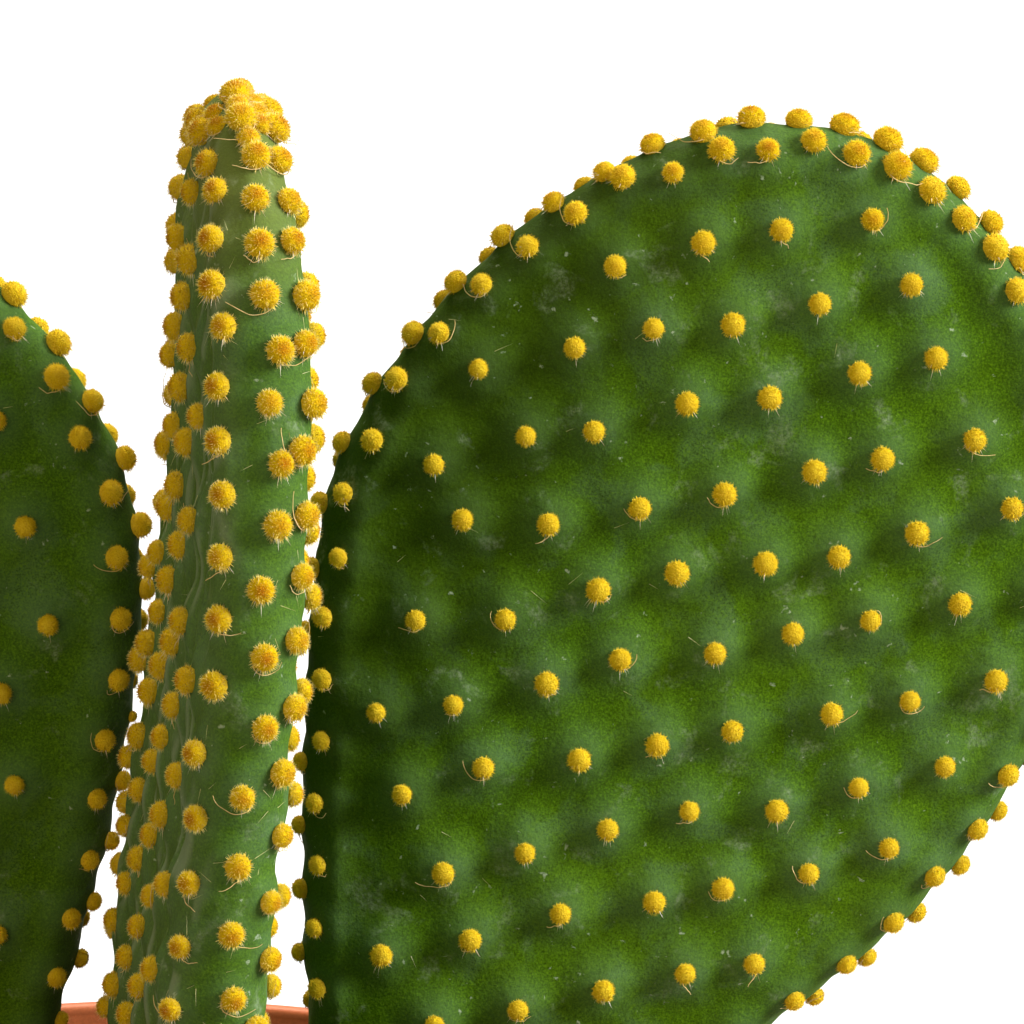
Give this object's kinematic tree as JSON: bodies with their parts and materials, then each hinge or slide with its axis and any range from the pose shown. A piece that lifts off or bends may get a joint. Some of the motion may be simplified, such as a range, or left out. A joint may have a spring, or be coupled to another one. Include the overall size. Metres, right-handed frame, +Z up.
{
  "type": "potted paddle cactus",
  "caption": "Paddle cactus with flat upright green pads covered in even tufts of short golden bristles, rooted in soil in a round terracotta-coloured nursery pot with drain holes",
  "frame": {"origin": "the centre of the pot's flat underside, on the pot's axis", "axes": "+Z is up along the pot's axis, -Y is the front that the right-hand broad pad faces, +X is to the right seen from the front"},
  "size_m": [0.1861, 0.1168, 0.2205],
  "materials": {
    "pot": "smooth matte terracotta-coloured moulding",
    "soil": "loose dark planting mix with pale grit",
    "pad": "velvety dark green skin with golden bristle tufts"
  },
  "bodies": {
    "root": {"pot": "pot", "soil": "soil", "pad_left": "pad", "pad_middle": "pad", "pad_right": "pad"}
  },
  "joints": []
}
